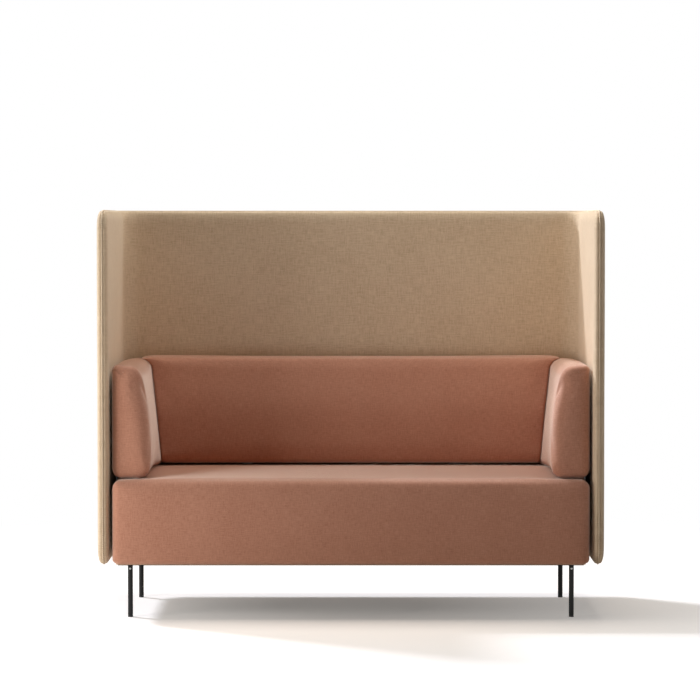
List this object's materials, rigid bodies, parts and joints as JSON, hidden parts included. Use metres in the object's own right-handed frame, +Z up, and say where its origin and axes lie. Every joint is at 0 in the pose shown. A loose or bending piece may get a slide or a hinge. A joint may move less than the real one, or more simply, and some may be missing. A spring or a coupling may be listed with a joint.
{
  "type": "high-back sofa",
  "caption": "High-back upholstered sofa: a bent padded screen wraps the back and sides of a deep seat block with wedge arm and back cushions, on slim steel legs with levelling feet.",
  "frame": {"origin": "middle of the footprint, on the floor", "axes": "+X to the viewer's right, +Y to the back, +Z up"},
  "size_m": [1.6, 0.74, 1.295],
  "materials": {
    "screen_fabric": "woven, matte",
    "cushion_wool": "thick felted wool",
    "foam": "cut foam",
    "lining": "non-woven",
    "webbing": "elastic strap",
    "plywood": "sanded",
    "beech": "planed",
    "black_steel": "satin black",
    "zinc_steel": "zinc plated",
    "nylon": "moulded"
  },
  "bodies": {
    "sofa": {"back_board": "plywood", "back_cover": "cushion_wool", "back_foam": "foam", "back_straps": "zinc_steel", "left_arm_board": "plywood", "left_arm_cover": "cushion_wool", "left_arm_foam": "foam", "left_arm_straps": "zinc_steel", "leg_front_left": "black_steel", "leg_front_right": "black_steel", "leg_lock_screws": "zinc_steel", "leg_plate_front_left": "black_steel", "leg_plate_front_right": "black_steel", "leg_plate_rear_left": "black_steel", "leg_plate_rear_right": "black_steel", "leg_plate_screws": "zinc_steel", "leg_rear_left": "black_steel", "leg_rear_right": "black_steel", "right_arm_board": "plywood", "right_arm_cover": "cushion_wool", "right_arm_foam": "foam", "right_arm_straps": "zinc_steel", "screen_bolts": "zinc_steel", "screen_core": "plywood", "screen_inner_cover": "screen_fabric", "screen_inner_foam": "foam", "screen_inserts": "zinc_steel", "screen_outer_cover": "screen_fabric", "screen_outer_foam": "foam", "screen_piping": "screen_fabric", "screen_spacers": "nylon", "seat_cover": "cushion_wool", "seat_cross_rails": "beech", "seat_dowels": "beech", "seat_dust_cover": "lining", "seat_foam": "foam", "seat_front_rail": "beech", "seat_left_rail": "beech", "seat_leg_blocks": "beech", "seat_rear_rail": "beech", "seat_right_rail": "beech", "seat_webbing": "webbing", "strap_screws": "zinc_steel"},
    "glide_front_left_body": {"glide_front_left": "nylon"},
    "glide_front_right_body": {"glide_front_right": "nylon"},
    "glide_rear_left_body": {"glide_rear_left": "nylon"},
    "glide_rear_right_body": {"glide_rear_right": "nylon"}
  },
  "joints": [
    {"name": "glide_front_left_height", "type": "slide", "parent": "sofa", "child": "glide_front_left_body", "axis": [0, 0, 1], "range_m": [-0.01, 0]},
    {"name": "glide_front_right_height", "type": "slide", "parent": "sofa", "child": "glide_front_right_body", "axis": [0, 0, 1], "range_m": [-0.01, 0]},
    {"name": "glide_rear_left_height", "type": "slide", "parent": "sofa", "child": "glide_rear_left_body", "axis": [0, 0, 1], "range_m": [-0.01, 0]},
    {"name": "glide_rear_right_height", "type": "slide", "parent": "sofa", "child": "glide_rear_right_body", "axis": [0, 0, 1], "range_m": [-0.01, 0]}
  ]
}
